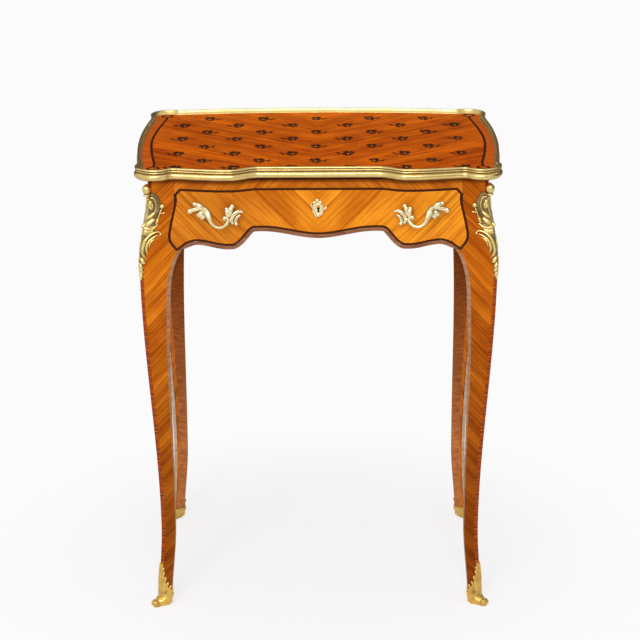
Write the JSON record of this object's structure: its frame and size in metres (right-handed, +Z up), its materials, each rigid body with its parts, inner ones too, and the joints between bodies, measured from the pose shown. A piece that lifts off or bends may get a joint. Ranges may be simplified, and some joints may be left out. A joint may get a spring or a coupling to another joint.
{
  "type": "side table",
  "caption": "Free-standing side table with a brass-rimmed shaped top, cabriole legs, gilt mounts and a lockable frieze drawer that slides out to the front.",
  "frame": {"origin": "on the floor below the middle of the table's bounding box", "axes": "+Z up, -Y towards someone at the front, where the drawer opens, +X to that person's right"},
  "size_m": [0.569, 0.419, 0.73],
  "materials": {
    "marquetry_veneer": "French-polished floral marquetry on a chevron of tulipwood",
    "tulipwood_veneer": "French-polished tulipwood veneer laid on the slant",
    "oak": "planed, unpolished",
    "gilt_brass": "cast, chased and gilt",
    "lock_steel": "filed, dull"
  },
  "bodies": {
    "carcass": {"top_board": "marquetry_veneer", "rim_front": "gilt_brass", "rim_back": "gilt_brass", "rim_left": "gilt_brass", "rim_right": "gilt_brass", "rim_corner_front_left": "gilt_brass", "rim_corner_front_right": "gilt_brass", "rim_corner_back_left": "gilt_brass", "rim_corner_back_right": "gilt_brass", "leg_front_left": "tulipwood_veneer", "leg_front_right": "tulipwood_veneer", "leg_back_left": "tulipwood_veneer", "leg_back_right": "tulipwood_veneer", "apron_left": "tulipwood_veneer", "apron_right": "tulipwood_veneer", "apron_back": "tulipwood_veneer", "front_top_rail": "tulipwood_veneer", "drawer_runner_left": "oak", "drawer_runner_right": "oak", "drawer_guide_left": "oak", "drawer_guide_right": "oak", "drawer_kicker_left": "oak", "drawer_kicker_right": "oak", "drawer_stop_left": "oak", "drawer_stop_right": "oak", "sabot_front_left": "gilt_brass", "sabot_front_right": "gilt_brass", "sabot_back_left": "gilt_brass", "sabot_back_right": "gilt_brass", "chute_front_left": "gilt_brass", "chute_front_right": "gilt_brass", "chute_back_left": "gilt_brass", "chute_back_right": "gilt_brass"},
    "drawer": {"drawer_front": "tulipwood_veneer", "drawer_side_left": "oak", "drawer_side_right": "oak", "drawer_back": "oak", "drawer_bottom": "oak", "handle_left": "gilt_brass", "handle_right": "gilt_brass", "handle_nut_left_inner": "gilt_brass", "handle_nut_left_outer": "gilt_brass", "handle_nut_right_inner": "gilt_brass", "handle_nut_right_outer": "gilt_brass", "escutcheon": "gilt_brass", "lock_case": "lock_steel"},
    "lock_bolt": {"lock_bolt": "lock_steel"}
  },
  "joints": [
    {"name": "drawer_slide", "type": "slide", "parent": "carcass", "child": "drawer", "axis": [0, -1, 0], "range_m": [0, 0.22]},
    {"name": "bolt_throw", "type": "slide", "parent": "drawer", "child": "lock_bolt", "axis": [0, 0, 1], "range_m": [0, 0.007]}
  ]
}
